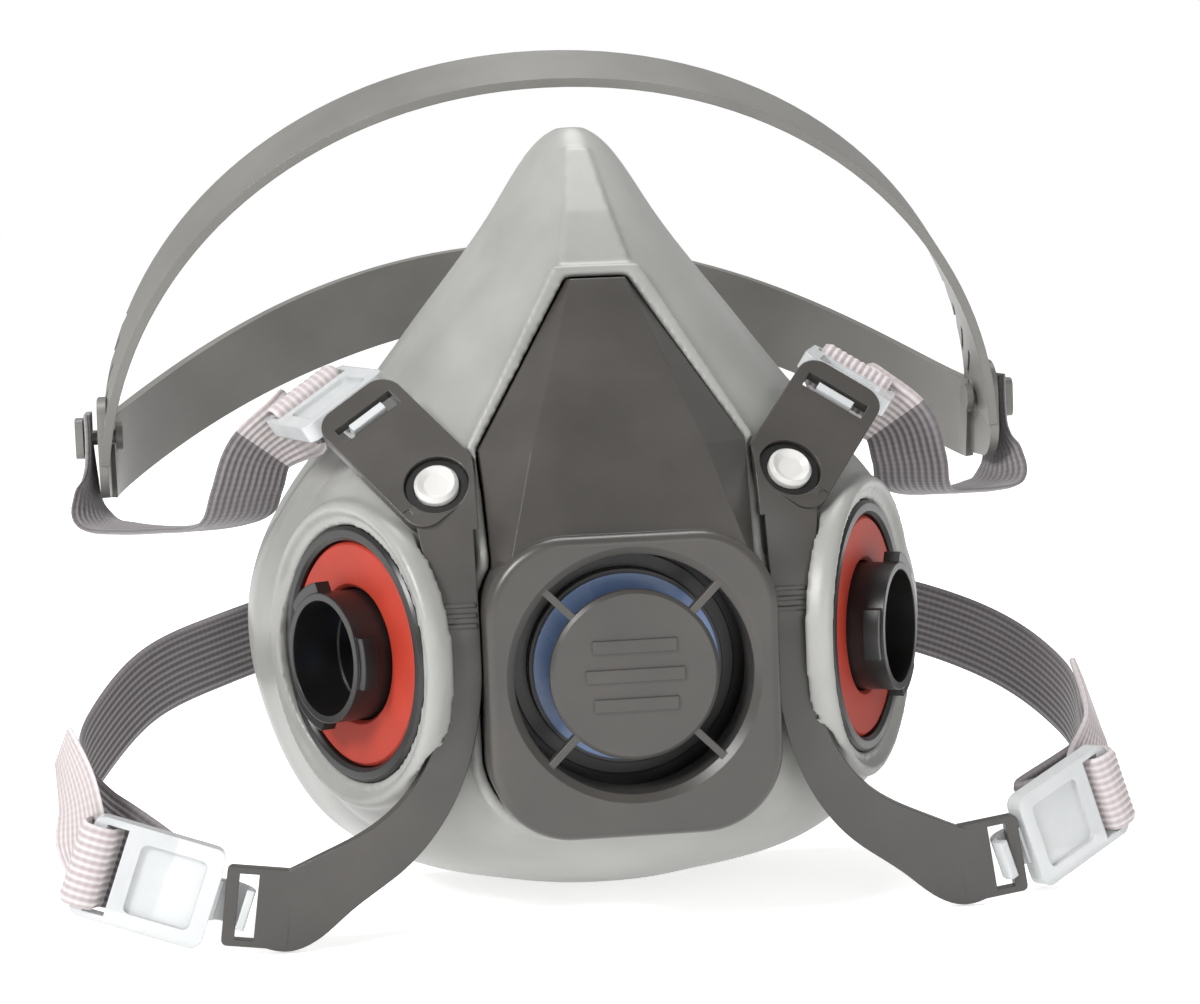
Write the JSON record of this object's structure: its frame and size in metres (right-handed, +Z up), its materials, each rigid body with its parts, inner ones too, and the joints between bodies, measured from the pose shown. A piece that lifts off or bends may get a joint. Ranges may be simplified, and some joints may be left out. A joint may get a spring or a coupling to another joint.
{
  "type": "half facepiece respirator",
  "caption": "Half facepiece respirator body with bayonet inlets, front exhalation valve, side harness arms, webbing straps and a moulded head cradle.",
  "frame": {"origin": "centre of the facepiece opening on the exhalation valve axis", "axes": "+Y back towards the wearer's face, +Z up as worn, +X to the wearer's left"},
  "size_m": [0.1992, 0.1598, 0.1589],
  "materials": {
    "elastomer": "moulded satin, fine grain",
    "dark_plastic": "satin, warm dark grey",
    "black_plastic": "satin black",
    "gasket_rubber": "satin orange-red",
    "valve_rubber": "smooth blue",
    "white_plastic": "glossy white",
    "clear_plastic": "milky clear",
    "webbing": "ribbed elastic webbing",
    "cradle_plastic": "satin mid grey"
  },
  "bodies": {
    "facepiece": {"faceseal": "elastomer", "front_housing": "black_plastic", "exhalation_seat": "black_plastic", "valve_cover": "dark_plastic", "harness_arm_left": "dark_plastic", "harness_arm_right": "dark_plastic", "post_left": "white_plastic", "post_right": "white_plastic", "arm_bush_left": "black_plastic", "arm_bush_right": "black_plastic", "inlet_port_left": "black_plastic", "inlet_port_right": "black_plastic", "inlet_gasket_left": "gasket_rubber", "inlet_gasket_right": "gasket_rubber", "port_ring_left": "black_plastic", "port_ring_right": "black_plastic"},
    "exhalation_disc": {"exhalation_flap": "valve_rubber"},
    "inhalation_disc_left": {"inhalation_flap_left": "valve_rubber"},
    "inhalation_disc_right": {"inhalation_flap_right": "valve_rubber"},
    "head_harness": {"upper_buckle_left": "clear_plastic", "upper_buckle_right": "clear_plastic", "upper_strap_left": "webbing", "upper_strap_right": "webbing", "strap_keeper_left": "cradle_plastic", "strap_keeper_right": "cradle_plastic"},
    "cradle": {"head_cradle": "cradle_plastic"},
    "neck_strap_left": {"lower_buckle_left": "clear_plastic", "lower_strap_left": "webbing", "neck_clasp_loop": "black_plastic"},
    "neck_strap_right": {"lower_buckle_right": "clear_plastic", "lower_strap_right": "webbing", "neck_clasp_hook": "black_plastic"}
  },
  "joints": [
    {"name": "exhalation_flap_lift", "type": "slide", "parent": "facepiece", "child": "exhalation_disc", "axis": [0, -1, 0], "range_m": [0, 0.0012], "stiffness_N_per_m": 60, "springref_m": -0.0005},
    {"name": "inhalation_flap_left_lift", "type": "slide", "parent": "facepiece", "child": "inhalation_disc_left", "axis": [-0.8746, 0.4848, 0], "range_m": [0, 0.0012], "stiffness_N_per_m": 60, "springref_m": -0.0005},
    {"name": "inhalation_flap_right_lift", "type": "slide", "parent": "facepiece", "child": "inhalation_disc_right", "axis": [0.8746, 0.4848, 0], "range_m": [0, 0.0012], "stiffness_N_per_m": 60, "springref_m": -0.0005},
    {"name": "head_harness_swing", "type": "hinge", "parent": "facepiece", "child": "head_harness", "pos_m": [0, -0.05005, 0.0458], "axis": [1, 0, 0], "range_deg": [0, 16]},
    {"name": "cradle_tilt", "type": "hinge", "parent": "head_harness", "child": "cradle", "pos_m": [0, 0.0285, 0.038], "axis": [1, 0, 0], "range_deg": [-12, 12]},
    {"name": "neck_strap_left_swing", "type": "hinge", "parent": "facepiece", "child": "neck_strap_left", "pos_m": [0.06997, -0.0636, -0.03861], "axis": [-0.1392, 0, 0.9903], "range_deg": [-45, 0]},
    {"name": "neck_strap_right_swing", "type": "hinge", "parent": "facepiece", "child": "neck_strap_right", "pos_m": [-0.06997, -0.0636, -0.03861], "axis": [0.1392, 0, 0.9903], "range_deg": [0, 45]}
  ]
}
